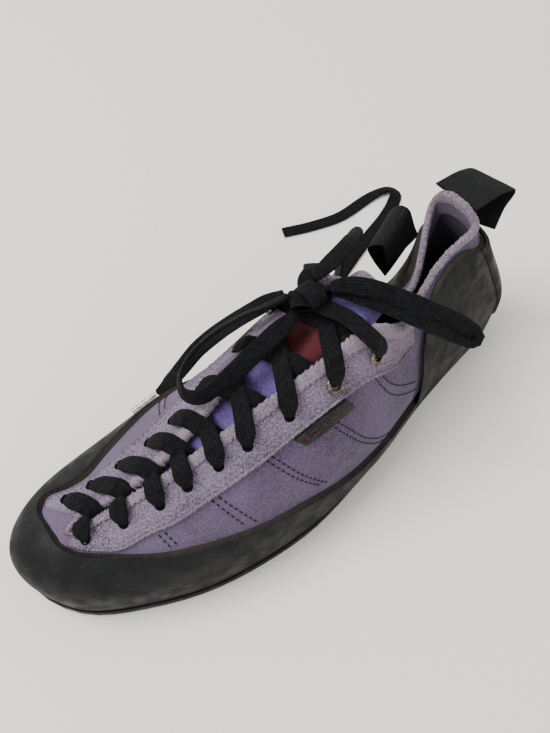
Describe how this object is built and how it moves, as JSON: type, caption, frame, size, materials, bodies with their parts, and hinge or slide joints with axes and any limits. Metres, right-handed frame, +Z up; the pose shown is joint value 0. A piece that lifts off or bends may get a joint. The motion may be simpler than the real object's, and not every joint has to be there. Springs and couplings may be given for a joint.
{
  "type": "climbing shoe",
  "caption": "Low lace-up climbing shoe of lilac suede with a long throat, a rubber toe cap, a wrapped rubber heel, webbing pull loops and flat black laces tied in a bow",
  "frame": {"origin": "on the floor, in the middle of the heel's flat spot", "axes": "+X from the heel towards the toe, +Y towards the outer side of this left shoe, +Z up"},
  "size_m": [0.3006, 0.1708, 0.1024],
  "materials": {
    "lilac_suede": "napped suede",
    "facing_suede": "napped suede",
    "rubber": "matte, scuffed",
    "heel_rubber": "matte",
    "tongue_violet": "suede finish",
    "lace": "ribbed flat weave",
    "webbing": "flat weave",
    "eyelet_metal": "dark",
    "insole": "matte",
    "label_red": "woven",
    "woven_tag": "woven",
    "clear_tip": "clear, smooth"
  },
  "bodies": {
    "root": {"outsole": "rubber", "insole": "insole", "upper": "lilac_suede", "toe_rand": "rubber", "heel_rand": "heel_rubber", "heel_strip": "heel_rubber", "lateral_facing": "facing_suede", "medial_facing": "facing_suede", "tongue": "tongue_violet", "tongue_label": "label_red", "side_tag": "woven_tag", "eyelet_lateral_1": "eyelet_metal", "eyelet_lateral_2": "eyelet_metal", "eyelet_medial_1": "eyelet_metal", "eyelet_medial_2": "eyelet_metal", "lace_crossing_1": "lace", "lace_crossing_2": "lace", "lace_crossing_3": "lace", "lace_crossing_4": "lace", "lace_crossing_5": "lace", "lace_crossing_6": "lace", "lace_crossing_7": "lace", "lace_crossing_8": "lace", "lace_bar_lateral": "lace", "lace_bar_medial": "lace", "lace_knot": "lace", "lace_loop_toe": "lace", "lace_loop_lateral": "lace", "lace_end_toe": "lace", "lace_end_heel": "lace", "lace_tip_toe": "clear_tip", "pull_loop_medial": "webbing", "pull_loop_back": "webbing"}
  },
  "joints": []
}
